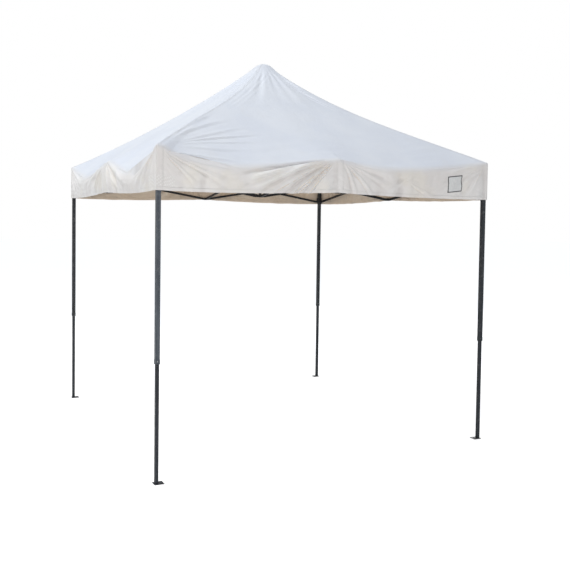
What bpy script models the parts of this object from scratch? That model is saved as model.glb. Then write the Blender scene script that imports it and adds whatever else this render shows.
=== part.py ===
"""Pop-up gazebo: a folding steel frame on four telescopic legs under a pyramid canopy.

Metres, +Z up, origin on the ground under the middle of the frame. The front side faces -Y.
Each side of the frame is two scissor pairs between its corner posts, and four more scissor
pairs run from the middle of each side to the central hubs. Every scissor bar has the same
length between its end pivots, so the whole frame folds with one angle.
"""

import math

import bmesh
import bpy
from mathutils import Matrix, Vector

# Frame layout
LEG_OFFSET = 1.455  # leg centre from the middle of the frame, along X and along Y
UPPER_PIVOT_Z = 2.342
LOWER_PIVOT_Z = 2.112
CORNER_REACH = 0.055  # leg centre to the bar pivots on its corner bracket and slider
SIDE_REACH = 0.028  # middle of a side to the bar pivots along that side
INNER_REACH = 0.033  # middle of a side to the pivot of the bar that runs inward
HUB_REACH = 0.050  # middle of the frame to the bar pivots on the hubs
BAR_RUN = LEG_OFFSET - CORNER_REACH - SIDE_REACH
BAR_RISE = UPPER_PIVOT_Z - LOWER_PIVOT_Z
BAR_LENGTH = math.hypot(BAR_RUN, BAR_RISE)
BAR_SLOPE = math.atan2(BAR_RISE, BAR_RUN)

# Scissor bars, rectangular tube
BAR_DEPTH = 0.022
BAR_WIDTH = 0.012
BAR_WALL = 0.0014
BAR_END = 0.009  # tube beyond each end pivot
PAIR_OFFSET = 0.007  # each bar of a scissor pair stands this far from their common plane
BOLT_RADIUS = 0.003
BOLT_HOLE_RADIUS = 0.0036
BOLT_HEAD = 0.002
RIVET_HEAD_RADIUS = 0.006
BOLT_SEGMENTS = 6
ROUND_SEGMENTS = 8
HOLE_SEGMENTS = 12

# Shaping shared by several pieces
CUT_PAST = 0.010  # a cutter runs this far past the face that it opens
CHAMFER = 0.002
SMALL_CHAMFER = 0.0015
OVERLAP = 0.001  # shapes that are joined run this far into each other

# Forks that hold the bar ends
EAR_THICKNESS = 0.0035
EAR_GAP = 0.0005  # between an ear and the side of the bar
EAR_HALF_HEIGHT = 0.011
EAR_END = 0.011  # ear beyond the pivot

# Blocks at the middle of each side, and the hubs
BLOCK_HALF_HEIGHT = 0.013
MID_CORE_HALF_X = 0.012
MID_CORE_HALF_Y = 0.018
MID_FORK_ROOT_X = 0.004
MID_FORK_ROOT_Y = 0.0150
MID_PLATE_Y = (0.0138, 0.0182)
MID_PLATE_MARGIN = 0.0005

# Legs
UPPER_TUBE = 0.032
UPPER_WALL = 0.0015
UPPER_LEG_BOTTOM = 0.857
UPPER_LEG_TOP = UPPER_PIVOT_Z + 0.030
COLLAR_LIP = 0.004  # the collar closes this much below the tube's end
COLLAR_SIZE = 0.0355
COLLAR_BORE = 0.0260
COLLAR_HEIGHT = 0.034
LOWER_TUBE = 0.025
LOWER_WALL = 0.0014
LOWER_LEG_TOP = 1.060
LOWER_TUBE_FLOOR = 0.012
FOOT_THICKNESS = 0.004
FOOT_LENGTH = 0.072
FOOT_DEPTH = 0.064
FOOT_SHIFT = Vector((0.017, 0.004))  # plate centre from the leg centre
PEG_HOLE_RADIUS = 0.005
PEG_HOLES = ((0.030, 0.018), (0.042, -0.014))  # from the leg centre, X inward
BUTTON_HEIGHT = 0.876
SPARE_HOLE_HEIGHT = 0.842

# Slider and corner bracket
SLIDER_HALF = 0.0200
SLIDER_BORE = 0.0330
SLIDER_BELOW = 0.022
SLIDER_ABOVE = 0.045
BRACKET_HALF = 0.0195
BRACKET_BELOW = 0.028
BRACKET_ABOVE = 0.042
SOCKET_GAP = 0.0003
LATCH_BOX_REACH = 0.030  # leg centre to the outer face of the slider's button housing
LATCH_BOX_HALF = 0.009
LATCH_BOX_LOW = 0.017
LATCH_BOX_HIGH = 0.039
LATCH_RADIUS = 0.0056
LATCH_POCKET_RADIUS = 0.0061
LATCH_POCKET_FLOOR = 0.0215
LATCH_INNER_END = 0.0275
LATCH_OUTER_END = 0.0340
LATCH_CHAMFER = 0.0008
LATCH_SEGMENTS = 14
POCKET_SEGMENTS = 16

# Button and spring in each lower leg
BUTTON_RADIUS = 0.0040
BUTTON_HOLE_RADIUS = 0.0046
BUTTON_FLANGE_RADIUS = 0.0060
BUTTON_FLANGE = 0.0015
BUTTON_FLANGE_GAP = 0.0004  # inside of the wall to the flange
BUTTON_FACE_GAP = 0.0003
BUTTON_CLEARANCE = 0.0006  # the hole in the upper leg is this much wider than in the lower one
SPRING_WIDTH = 0.008
SPRING_THICKNESS = 0.0008
SPRING_DROP = 0.044
SPRING_TOP = 0.001
SPRING_FOOT_Y = 0.0035

# Hubs and pole
HUB_HALF = 0.024
HUB_FORK_ROOT = HUB_HALF - 0.002
SLEEVE_RADIUS = 0.0170
SLEEVE_BORE_RADIUS = 0.0135
SLEEVE_BOTTOM = LOWER_PIVOT_Z + 0.040
SLEEVE_TOP = UPPER_PIVOT_Z + 0.026
POLE_RADIUS = 0.0125
POLE_WALL = 0.0014
POLE_BOTTOM = LOWER_PIVOT_Z - 0.012
POLE_TOP = 3.322
POLE_SEGMENTS = 16
POLE_PLUG = 0.020  # solid length at the pole's top
DOME_HEIGHT = 0.006
DOME_FOOT_RADIUS = POLE_RADIUS - 0.0005
DOME_TOP_RADIUS = POLE_RADIUS - 0.006
LOWER_HUB_BORE_RADIUS = POLE_RADIUS + 0.0005

# Canopy, a pyramid roof with a hanging valance
CANOPY_HALF = LEG_OFFSET + 0.0228
CANOPY_THICKNESS = 0.0020
PEAK_HALF = 0.020
PEAK_Z = 3.336
EAVE_CORNER_Z = 2.400
EAVE_MIDDLE_Z = 2.362
HEM_CORNER_Z = 2.085
HEM_MIDDLE_Z = 2.104

SIDES = ("front", "right", "back", "left")
CORNERS = ("front_left", "front_right", "back_right", "back_left")
FORWARD_HALF = ("left", "front", "right", "back")  # which half a side's first pair stands in
FINAL_HALF = ("right", "back", "left", "front")


def clear_scene():
    for old in list(bpy.data.objects):
        bpy.data.objects.remove(old, do_unlink=True)


def new_collection(name):
    collection = bpy.data.collections.new(name)
    bpy.context.scene.collection.children.link(collection)
    return collection


clear_scene()
GAZEBO = new_collection("pop_up_gazebo")
CUTTERS = new_collection("cutters")


def material(name, colour, roughness, metallic):
    made = bpy.data.materials.new(name)
    made.use_nodes = True
    shader = made.node_tree.nodes["Principled BSDF"]
    shader.inputs["Base Color"].default_value = (*colour, 1.0)
    shader.inputs["Roughness"].default_value = roughness
    shader.inputs["Metallic"].default_value = metallic
    return made


# Shapes


def as_object(mesh):
    """A shape to join or cut with, kept out of the render."""
    obj = bpy.data.objects.new(mesh.name, mesh)
    CUTTERS.objects.link(obj)
    obj.hide_render = True
    obj.display_type = "WIRE"
    return obj


def from_bmesh(name, bm):
    mesh = bpy.data.meshes.new(name)
    bm.to_mesh(mesh)
    bm.free()
    return as_object(mesh)


def box(low, high):
    low = Vector(low)
    high = Vector(high)
    bm = bmesh.new()
    place = Matrix.Translation((low + high) / 2) @ Matrix.Diagonal((*(high - low), 1))
    bmesh.ops.create_cube(bm, size=1, matrix=place)
    return from_bmesh("box", bm)


def rod(start, end, radius, segments=ROUND_SEGMENTS, end_radius=None):
    """A cylinder, or a cone where end_radius is given, between two points."""
    start = Vector(start)
    along = Vector(end) - start
    turn = Vector((0, 0, 1)).rotation_difference(along).to_matrix().to_4x4()
    place = Matrix.Translation(start + along / 2) @ turn
    bm = bmesh.new()
    bmesh.ops.create_cone(
        bm,
        cap_ends=True,
        segments=segments,
        radius1=radius,
        radius2=radius if end_radius is None else end_radius,
        depth=along.length,
        matrix=place,
    )
    return from_bmesh("rod", bm)


def tilted_box(start, end, width, thickness):
    """A thin strip between two points of the YZ plane, with its width along X."""
    start = Vector(start)
    along = Vector(end) - start
    turn = Vector((0, 0, 1)).rotation_difference(along).to_matrix().to_4x4()
    size = Matrix.Diagonal((width, thickness, along.length, 1))
    bm = bmesh.new()
    bmesh.ops.create_cube(bm, size=1, matrix=Matrix.Translation(start + along / 2) @ turn @ size)
    return from_bmesh("strip", bm)


def chamfered(obj, width):
    """Takes the sharp edges off a block."""
    bevel = obj.modifiers.new("Bevel", "BEVEL")
    bevel.width = width
    bevel.segments = 1
    return obj


def evaluated_mesh(obj):
    bpy.context.view_layer.update()
    graph = bpy.context.evaluated_depsgraph_get()
    return bpy.data.meshes.new_from_object(obj.evaluated_get(graph))


def joined(name, added, removed=()):
    """One mesh: the union of the added shapes, less the removed ones."""
    base = added[0]
    tools = [(shape, "UNION") for shape in added[1:]]
    tools += [(shape, "DIFFERENCE") for shape in removed]
    for shape, operation in tools:
        modifier = base.modifiers.new(operation, "BOOLEAN")
        modifier.operation = operation
        modifier.solver = "EXACT"
        modifier.object = shape
    mesh = evaluated_mesh(base)
    mesh.name = name
    for shape in [base, *[shape for shape, operation in tools]]:
        bpy.data.objects.remove(shape, do_unlink=True)
    return mesh


def smooth_rounds(mesh):
    mesh.shade_smooth()
    mesh.set_sharp_from_angle(angle=math.radians(30))


def part(name, mesh, finish, placement):
    """One named piece: its own object and material on a mesh that copies may share."""
    obj = bpy.data.objects.new(name, mesh)
    GAZEBO.objects.link(obj)
    obj.matrix_world = placement
    if not mesh.materials:
        mesh.materials.append(None)
    obj.material_slots[0].link = "OBJECT"
    obj.material_slots[0].material = material(name, *finish)
    return obj


def placed(origin, x_axis, y_axis):
    """A placement at origin whose local X and Y point along the two unit directions."""
    x = Vector(x_axis)
    y = Vector(y_axis)
    turn = Matrix((x, y, x.cross(y))).transposed().to_4x4()
    return Matrix.Translation(Vector(origin)) @ turn


def quarter_turns(count):
    return Matrix.Rotation(math.radians(90 * count), 4, "Z")


# Scissor bars


def bar_tube(start_x):
    outer = box(
        (start_x - BAR_END, -BAR_WIDTH / 2, -BAR_DEPTH / 2),
        (start_x + BAR_LENGTH + BAR_END, BAR_WIDTH / 2, BAR_DEPTH / 2),
    )
    inner = box(
        (start_x - 2 * BAR_END, BAR_WALL - BAR_WIDTH / 2, BAR_WALL - BAR_DEPTH / 2),
        (start_x + BAR_LENGTH + 2 * BAR_END, BAR_WIDTH / 2 - BAR_WALL, BAR_DEPTH / 2 - BAR_WALL),
    )
    return outer, inner


def cross_hole(x):
    return rod((x, -BAR_WIDTH, 0), (x, BAR_WIDTH, 0), BOLT_HOLE_RADIUS)


def riveted_bar():
    """A bar from its pivot at the origin along +X, with the rivet its partner turns on.

    The partner stands towards -Y, so the rivet reaches that way.
    """
    outer, inner = bar_tube(0)
    middle = BAR_LENGTH / 2
    partner_face = 2 * PAIR_OFFSET + BAR_WIDTH / 2
    shank_end = partner_face + EAR_GAP
    rivet_top = BAR_WIDTH / 2 + BOLT_HEAD
    shank = rod((middle, rivet_top, 0), (middle, -shank_end - BOLT_HEAD, 0), BOLT_RADIUS)
    in_wall = BAR_WIDTH / 2 - BAR_WALL / 2
    near_head = rod((middle, rivet_top, 0), (middle, in_wall, 0), RIVET_HEAD_RADIUS)
    far_head = rod((middle, -shank_end, 0), (middle, -shank_end - BOLT_HEAD, 0), RIVET_HEAD_RADIUS)
    tube = as_object(joined("tube", [outer], [inner, cross_hole(0), cross_hole(BAR_LENGTH)]))
    return joined("riveted_bar", [tube, shank, near_head, far_head])


def plain_bar():
    """A bar centred on the origin along X, with a hole for the rivet."""
    outer, inner = bar_tube(-BAR_LENGTH / 2)
    holes = [cross_hole(x) for x in (-BAR_LENGTH / 2, 0, BAR_LENGTH / 2)]
    return joined("plain_bar", [outer], [inner, *holes])


# Forks: two ears and the bolt between them


def fork_along_x(root_x, pivot_x, offset_y, height=0.0):
    """Ears from root_x out to the pivot, either side of a bar that stands at offset_y."""
    tip_x = pivot_x + math.copysign(EAR_END, pivot_x - root_x)
    low_x = min(root_x, tip_x)
    high_x = max(root_x, tip_x)
    inner_face = BAR_WIDTH / 2 + EAR_GAP
    outer_face = inner_face + EAR_THICKNESS
    shapes = []
    for side in (-1, 1):
        faces = sorted((offset_y + side * inner_face, offset_y + side * outer_face))
        low = (low_x, faces[0], height - EAR_HALF_HEIGHT)
        high = (high_x, faces[1], height + EAR_HALF_HEIGHT)
        shapes.append(box(low, high))
    reach = outer_face + BOLT_HEAD
    start = (pivot_x, offset_y - reach, height)
    end = (pivot_x, offset_y + reach, height)
    shapes.append(rod(start, end, BOLT_RADIUS, BOLT_SEGMENTS))
    return shapes


def fork_along_y(root_y, pivot_y, offset_x, height=0.0):
    """The same fork turned a quarter, for a bar that runs along Y at offset_x."""
    shapes = fork_along_x(root_y, pivot_y, -offset_x, height)
    for shape in shapes:
        shape.data.transform(quarter_turns(1))
    return shapes


# Connectors of the frame


def corner_bracket():
    """Cap on the front left leg: a socket for the tube and a fork for each side's bar."""
    block = chamfered(
        box(
            (-BRACKET_HALF, -BRACKET_HALF, -BRACKET_BELOW),
            (BRACKET_HALF, BRACKET_HALF, BRACKET_ABOVE),
        ),
        CHAMFER,
    )
    socket_half = UPPER_TUBE / 2 + SOCKET_GAP
    socket_top = UPPER_LEG_TOP - UPPER_PIVOT_Z + SOCKET_GAP
    socket = box(
        (-socket_half, -socket_half, -2 * BRACKET_BELOW),
        (socket_half, socket_half, socket_top),
    )
    root = socket_half + OVERLAP
    forks = fork_along_x(root, CORNER_REACH, -PAIR_OFFSET)
    forks += fork_along_y(root, CORNER_REACH, PAIR_OFFSET)
    return joined("corner_bracket", [block, *forks], [socket])


def slider():
    """Sleeve that rides up the front left leg, with two forks and a button housing."""
    body = chamfered(
        box(
            (-SLIDER_HALF, -SLIDER_HALF, -SLIDER_BELOW),
            (SLIDER_HALF, SLIDER_HALF, SLIDER_ABOVE),
        ),
        CHAMFER,
    )
    root = SLIDER_BORE / 2 + OVERLAP
    forks = fork_along_x(root, CORNER_REACH, PAIR_OFFSET)
    forks += fork_along_y(root, CORNER_REACH, -PAIR_OFFSET)
    housing = box(
        (root, -LATCH_BOX_HALF, LATCH_BOX_LOW),
        (LATCH_BOX_REACH, LATCH_BOX_HALF, LATCH_BOX_HIGH),
    )
    latch_z = (LATCH_BOX_LOW + LATCH_BOX_HIGH) / 2
    pocket = rod(
        (LATCH_POCKET_FLOOR, 0, latch_z),
        (2 * LATCH_BOX_REACH, 0, latch_z),
        LATCH_POCKET_RADIUS,
        POCKET_SEGMENTS,
    )
    bore_half = SLIDER_BORE / 2
    bore = box(
        (-bore_half, -bore_half, -SLIDER_BELOW - CUT_PAST),
        (bore_half, bore_half, SLIDER_ABOVE + CUT_PAST),
    )
    return joined("slider", [body, housing, *forks], [pocket, bore])


def slider_button():
    """Thumb button, pressed towards the leg. Its origin is on its own centre line."""
    shank = rod((LATCH_INNER_END, 0, 0), (LATCH_OUTER_END, 0, 0), LATCH_RADIUS, LATCH_SEGMENTS)
    return joined("slider_button", [chamfered(shank, LATCH_CHAMFER)])


def mid_block(turn):
    """Connector at the middle of a side, in that side's plane, +Y inward.

    turn is 1 for the lower block and -1 for the upper one, whose bars stand on the other
    side of each scissor pair.
    """
    core = box(
        (-MID_CORE_HALF_X, -MID_CORE_HALF_Y, -BLOCK_HALF_HEIGHT),
        (MID_CORE_HALF_X, MID_CORE_HALF_Y, BLOCK_HALF_HEIGHT),
    )
    # The ears beside the inward bar stand on a plate that clears the side bars' ends
    ear_outside = PAIR_OFFSET + BAR_WIDTH / 2 + EAR_GAP + EAR_THICKNESS
    plate_xs = sorted((-turn * MID_CORE_HALF_X / 2, turn * (ear_outside + MID_PLATE_MARGIN)))
    plate_half_height = BLOCK_HALF_HEIGHT - OVERLAP
    plate = box(
        (plate_xs[0], MID_PLATE_Y[0], -plate_half_height),
        (plate_xs[1], MID_PLATE_Y[1], plate_half_height),
    )
    shapes = [core, plate]
    shapes += fork_along_x(MID_FORK_ROOT_X, SIDE_REACH, turn * PAIR_OFFSET)
    shapes += fork_along_x(-MID_FORK_ROOT_X, -SIDE_REACH, -turn * PAIR_OFFSET)
    shapes += fork_along_y(MID_FORK_ROOT_Y, INNER_REACH, turn * PAIR_OFFSET)
    return joined("mid_block", shapes)


def hub(turn, bore_radius, sleeve_bottom, sleeve_top):
    """Central hub with four forks, and a sleeve for the pole where it has a height."""
    core = chamfered(
        box((-HUB_HALF, -HUB_HALF, -BLOCK_HALF_HEIGHT), (HUB_HALF, HUB_HALF, BLOCK_HALF_HEIGHT)),
        CHAMFER,
    )
    shapes = [core]
    for way in (-1, 1):
        shapes += fork_along_y(way * HUB_FORK_ROOT, way * HUB_REACH, -way * turn * PAIR_OFFSET)
        shapes += fork_along_x(way * HUB_FORK_ROOT, way * HUB_REACH, way * turn * PAIR_OFFSET)
    if sleeve_top > sleeve_bottom:
        shapes.append(rod((0, 0, sleeve_bottom), (0, 0, sleeve_top), SLEEVE_RADIUS, POLE_SEGMENTS))
    bore = rod((0, 0, -1), (0, 0, 1), bore_radius, POLE_SEGMENTS)
    return joined("hub", shapes, [bore])


def peak_pole():
    """Round pole with a domed plug in its top, open at the foot."""
    tube_top = POLE_TOP - DOME_HEIGHT
    tube = rod((0, 0, POLE_BOTTOM), (0, 0, tube_top), POLE_RADIUS, POLE_SEGMENTS)
    dome = rod(
        (0, 0, tube_top - OVERLAP),
        (0, 0, POLE_TOP),
        DOME_FOOT_RADIUS,
        POLE_SEGMENTS,
        DOME_TOP_RADIUS,
    )
    bore = rod(
        (0, 0, POLE_BOTTOM - CUT_PAST),
        (0, 0, POLE_TOP - POLE_PLUG),
        POLE_RADIUS - POLE_WALL,
        POLE_SEGMENTS,
    )
    return joined("peak_pole", [tube, dome], [bore])


# Legs


def square_tube(size, wall, bottom, top):
    outer = box((-size / 2, -size / 2, bottom), (size / 2, size / 2, top))
    half = size / 2 - wall
    inner = box((-half, -half, bottom - CUT_PAST), (half, half, top + CUT_PAST))
    return outer, inner


def upper_leg():
    """Outer tube with a plastic collar at its foot and the button's hole in its front."""
    outer, inner = square_tube(
        UPPER_TUBE, UPPER_WALL, UPPER_LEG_BOTTOM + COLLAR_LIP, UPPER_LEG_TOP
    )
    tube = as_object(joined("tube", [outer], [inner]))
    collar = chamfered(
        box(
            (-COLLAR_SIZE / 2, -COLLAR_SIZE / 2, UPPER_LEG_BOTTOM),
            (COLLAR_SIZE / 2, COLLAR_SIZE / 2, UPPER_LEG_BOTTOM + COLLAR_HEIGHT),
        ),
        SMALL_CHAMFER,
    )
    bore_half = COLLAR_BORE / 2
    bore = box(
        (-bore_half, -bore_half, UPPER_LEG_BOTTOM - CUT_PAST),
        (bore_half, bore_half, UPPER_LEG_BOTTOM + COLLAR_HEIGHT + CUT_PAST),
    )
    hole = rod(
        (0, 0, BUTTON_HEIGHT),
        (0, -UPPER_TUBE, BUTTON_HEIGHT),
        BUTTON_HOLE_RADIUS + BUTTON_CLEARANCE,
        HOLE_SEGMENTS,
    )
    return joined("upper_leg", [tube, collar], [bore, hole])


def lower_leg(inward):
    """Inner tube welded to its foot plate, which reaches inward, +1 or -1 along X."""
    outer, inner = square_tube(LOWER_TUBE, LOWER_WALL, 0, LOWER_LEG_TOP)
    inner.data.transform(Matrix.Translation((0, 0, LOWER_TUBE_FLOOR)))
    tube = as_object(joined("tube", [outer], [inner]))
    centre_x = inward * FOOT_SHIFT.x
    plate = box(
        (centre_x - FOOT_LENGTH / 2, FOOT_SHIFT.y - FOOT_DEPTH / 2, 0),
        (centre_x + FOOT_LENGTH / 2, FOOT_SHIFT.y + FOOT_DEPTH / 2, FOOT_THICKNESS),
    )
    holes = []
    for x, y in PEG_HOLES:
        below = (inward * x, y, -CUT_PAST)
        above = (inward * x, y, CUT_PAST)
        holes.append(rod(below, above, PEG_HOLE_RADIUS, HOLE_SEGMENTS))
    for height, radius in (
        (BUTTON_HEIGHT, BUTTON_HOLE_RADIUS),
        (SPARE_HOLE_HEIGHT, BUTTON_RADIUS),
    ):
        holes.append(rod((0, 0, height), (0, -LOWER_TUBE, height), radius, HOLE_SEGMENTS))
    return joined("lower_leg", [tube, plate], holes)


def leg_button():
    """Snap button in the front wall of the lower leg, and the leaf spring behind it.

    Its origin is on the leg's centre line at the button's height, and it presses along +Y.
    """
    face = -LOWER_TUBE / 2 + BUTTON_FACE_GAP
    wall_inside = -LOWER_TUBE / 2 + LOWER_WALL
    flange_front = wall_inside + BUTTON_FLANGE_GAP
    flange_back = flange_front + BUTTON_FLANGE
    shank = rod((0, face, 0), (0, flange_back, 0), BUTTON_RADIUS, HOLE_SEGMENTS)
    flange = rod(
        (0, flange_front, 0), (0, flange_back, 0), BUTTON_FLANGE_RADIUS, HOLE_SEGMENTS
    )
    spring = tilted_box(
        (0, flange_back - SPRING_THICKNESS, SPRING_TOP),
        (0, SPRING_FOOT_Y, -SPRING_DROP),
        SPRING_WIDTH,
        SPRING_THICKNESS,
    )
    return joined("leg_button", [shank, flange, spring])


# Canopy


def ring(half, corner_z, middle_z):
    """Eight points round a square: a corner and the middle of each side in turn."""
    points = []
    for turns in range(4):
        turn = quarter_turns(turns)
        points.append(turn @ Vector((-half, -half, corner_z)))
        points.append(turn @ Vector((0, -half, middle_z)))
    return points


def canopy():
    """One sheet: the valance, the four roof slopes and the small flat top over the pole."""
    rings = [
        ring(CANOPY_HALF, HEM_CORNER_Z, HEM_MIDDLE_Z),
        ring(CANOPY_HALF, EAVE_CORNER_Z, EAVE_MIDDLE_Z),
        ring(PEAK_HALF, PEAK_Z, PEAK_Z),
    ]
    bm = bmesh.new()
    rows = [[bm.verts.new(point) for point in points] for points in rings]
    for lower, upper in zip(rows, rows[1:]):
        for i in range(8):
            j = (i + 1) % 8
            bm.faces.new((lower[i], lower[j], upper[j], upper[i]))
    bm.faces.new(rows[-1])
    bmesh.ops.recalc_face_normals(bm, faces=bm.faces)
    sheet = from_bmesh("sheet", bm)
    thickness = sheet.modifiers.new("Solidify", "SOLIDIFY")
    thickness.thickness = CANOPY_THICKNESS
    thickness.offset = -1
    thickness.use_even_offset = True
    return joined("canopy", [sheet])


# Finishes: colour, roughness, metallic
BLACK_STEEL = ((0.035, 0.038, 0.043), 0.42, 0.55)
GREY_STEEL = ((0.075, 0.082, 0.095), 0.40, 0.60)
BLACK_PLASTIC = ((0.022, 0.022, 0.024), 0.55, 0.0)
GREY_PLASTIC = ((0.20, 0.20, 0.21), 0.50, 0.0)
BRIGHT_STEEL = ((0.55, 0.55, 0.56), 0.35, 0.9)
CANVAS = ((0.74, 0.75, 0.76), 0.85, 0.0)


def build_side(index, bars, blocks):
    """The perimeter pairs, the mid blocks and the inward pair of one side."""
    side = quarter_turns(index)
    name = SIDES[index]
    cosine = math.cos(BAR_SLOPE)
    sine = math.sin(BAR_SLOPE)
    plane_y = -LEG_OFFSET
    lower = side @ Matrix.Translation((0, plane_y, LOWER_PIVOT_Z))
    upper = side @ Matrix.Translation((0, plane_y, UPPER_PIVOT_Z))
    part(f"{name}_lower_mid_block", blocks["lower"], BLACK_PLASTIC, lower)
    part(f"{name}_upper_mid_block", blocks["upper"], BLACK_PLASTIC, upper)
    middle_z = (LOWER_PIVOT_Z + UPPER_PIVOT_Z) / 2
    middle_x = SIDE_REACH + BAR_RUN / 2
    for way, half in ((-1, FORWARD_HALF[index]), (1, FINAL_HALF[index])):
        foot = (way * SIDE_REACH, plane_y + way * PAIR_OFFSET, LOWER_PIVOT_Z)
        rising = placed(foot, (way * cosine, 0, sine), (0, way, 0))
        part(f"{name}_{half}_bracket_bar", bars["riveted"], BLACK_STEEL, side @ rising)
        centre = (way * middle_x, plane_y - way * PAIR_OFFSET, middle_z)
        falling = placed(centre, (way * cosine, 0, -sine), (0, way, 0))
        part(f"{name}_{half}_slider_bar", bars["plain"], BLACK_STEEL, side @ falling)
    inner_end = (PAIR_OFFSET, -HUB_REACH, UPPER_PIVOT_Z)
    outward = placed(inner_end, (0, -cosine, -sine), (1, 0, 0))
    part(f"{name}_upper_roof_bar", bars["riveted"], BLACK_STEEL, side @ outward)
    centre = (-PAIR_OFFSET, -HUB_REACH - BAR_RUN / 2, middle_z)
    inward = placed(centre, (0, -cosine, sine), (1, 0, 0))
    part(f"{name}_lower_roof_bar", bars["plain"], BLACK_STEEL, side @ inward)


def build_corner(index, meshes):
    """Everything that one corner post carries."""
    name = CORNERS[index]
    corner = quarter_turns(index) @ Matrix.Translation((-LEG_OFFSET, -LEG_OFFSET, 0))
    x, y = corner.translation.xy
    part(
        f"{name}_corner_bracket",
        meshes["bracket"],
        BLACK_PLASTIC,
        corner @ Matrix.Translation((0, 0, UPPER_PIVOT_Z)),
    )
    part(
        f"{name}_slider",
        meshes["slider"],
        BLACK_PLASTIC,
        corner @ Matrix.Translation((0, 0, LOWER_PIVOT_Z)),
    )
    latch_z = LOWER_PIVOT_Z + (LATCH_BOX_LOW + LATCH_BOX_HIGH) / 2
    part(
        f"{name}_slider_button",
        meshes["slider_button"],
        GREY_PLASTIC,
        corner @ Matrix.Translation((0, 0, latch_z)),
    )
    # The tubes face the nearer of the front and the back, and their plates reach inward
    faces_back = y > 0
    post = Matrix.Translation((x, y, 0)) @ quarter_turns(2 if faces_back else 0)
    reaches_right = (x < 0) != faces_back
    part(f"{name}_upper_leg", meshes["upper_leg"], GREY_STEEL, post)
    part(f"{name}_lower_leg", meshes["lower_leg"][reaches_right], BLACK_STEEL, post)
    button = post @ Matrix.Translation((0, 0, BUTTON_HEIGHT))
    part(f"{name}_leg_button", meshes["leg_button"], BRIGHT_STEEL, button)


def build_gazebo():
    bars = {"riveted": riveted_bar(), "plain": plain_bar()}
    blocks = {"lower": mid_block(1), "upper": mid_block(-1)}
    corner_meshes = {
        "bracket": corner_bracket(),
        "slider": slider(),
        "slider_button": slider_button(),
        "upper_leg": upper_leg(),
        "lower_leg": {True: lower_leg(1), False: lower_leg(-1)},
        "leg_button": leg_button(),
    }
    for index in range(4):
        build_side(index, bars, blocks)
        build_corner(index, corner_meshes)
    sleeve = (SLEEVE_BOTTOM - UPPER_PIVOT_Z, SLEEVE_TOP - UPPER_PIVOT_Z)
    upper_hub = hub(1, SLEEVE_BORE_RADIUS, *sleeve)
    lower_hub = hub(-1, LOWER_HUB_BORE_RADIUS, 0, 0)
    pole = peak_pole()
    for mesh in (upper_hub, lower_hub, pole, corner_meshes["slider_button"]):
        smooth_rounds(mesh)
    part("upper_hub", upper_hub, BLACK_PLASTIC, Matrix.Translation((0, 0, UPPER_PIVOT_Z)))
    part("lower_hub", lower_hub, BLACK_PLASTIC, Matrix.Translation((0, 0, LOWER_PIVOT_Z)))
    part("peak_pole", pole, BLACK_STEEL, Matrix.Identity(4))
    part("canopy", canopy(), CANVAS, Matrix.Identity(4))


build_gazebo()
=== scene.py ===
import math
from functools import partial

import bpy
import numpy as np
from mathutils import Matrix, Vector


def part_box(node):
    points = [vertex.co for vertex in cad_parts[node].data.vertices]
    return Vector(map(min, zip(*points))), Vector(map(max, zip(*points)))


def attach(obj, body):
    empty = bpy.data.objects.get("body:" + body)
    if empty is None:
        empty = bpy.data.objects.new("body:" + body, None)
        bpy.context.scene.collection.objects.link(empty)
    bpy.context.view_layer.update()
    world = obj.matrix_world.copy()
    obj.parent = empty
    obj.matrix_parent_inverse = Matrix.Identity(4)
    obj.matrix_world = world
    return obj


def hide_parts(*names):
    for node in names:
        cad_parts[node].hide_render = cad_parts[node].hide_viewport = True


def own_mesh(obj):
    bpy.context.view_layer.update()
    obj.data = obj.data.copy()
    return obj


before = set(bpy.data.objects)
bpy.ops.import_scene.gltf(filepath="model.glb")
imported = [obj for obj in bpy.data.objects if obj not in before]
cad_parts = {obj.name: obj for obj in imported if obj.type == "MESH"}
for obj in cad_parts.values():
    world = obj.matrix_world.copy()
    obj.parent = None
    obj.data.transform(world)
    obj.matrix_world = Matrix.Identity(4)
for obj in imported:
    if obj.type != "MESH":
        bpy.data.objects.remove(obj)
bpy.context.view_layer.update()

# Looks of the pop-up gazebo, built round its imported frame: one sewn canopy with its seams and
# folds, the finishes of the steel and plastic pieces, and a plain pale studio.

SIDES = ("front", "right", "back", "left")
CORNERS = ("front_left", "front_right", "back_right", "back_left")
FIRST_HALF = ("left", "front", "right", "back")  # the half of each side at local -X
LAST_HALF = ("right", "back", "left", "front")

# Canopy, sizes from the frame
CANOPY_LOW, CANOPY_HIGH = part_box("canopy")
HALF = CANOPY_HIGH.x - 0.0003
PEAK_Z = CANOPY_HIGH.z + 0.016
PEAK_ROUNDING = 0.038  # share of the slope, from the peak, over which the tip is blunt
PEAK_FREE = 0.075  # share of the slope, from the peak, over which the sags set in
PEAK_LEAN = (0.011, -0.005, 0.0)  # how far the crown sits off the pole
LEAN_END = 0.55  # share of the slope by which the crown's lean has faded
BRACKET_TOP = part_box("front_left_corner_bracket")[1].z
CORNER_Z = BRACKET_TOP + 0.016
MIDDLE_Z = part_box("front_upper_mid_block")[1].z + 0.009
HEM_CORNER_Z = CANOPY_LOW.z - 0.002
HEM_MIDDLE_Z = HEM_CORNER_Z + 0.021
LEG = HALF - 0.0225  # the line of the leg centres, from the middle
OUTER_FACE = -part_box("front_left_slider")[0].y  # nothing of the frame but the feet is wider
BAR_CROSSING = 0.7415  # distance of a side's two rivets from its middle
BAR_TOP = 0.012  # bar centre line to its top edge
BAR_HIGH_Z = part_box("front_left_bracket_bar")[1].z - BAR_TOP
BAR_LOW_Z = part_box("front_left_bracket_bar")[0].z + BAR_TOP
BRACKET_REACH = 0.972  # share of a half side at which the corner brackets' caps begin
SLOPE_LENGTH = math.hypot(HALF, PEAK_Z - CORNER_Z)
FABRIC = 0.0014  # thickness of the valance, which shows both faces
CAP_SHARE = 0.112  # share of the roof, from the peak, that forms the cap over the pole

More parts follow.
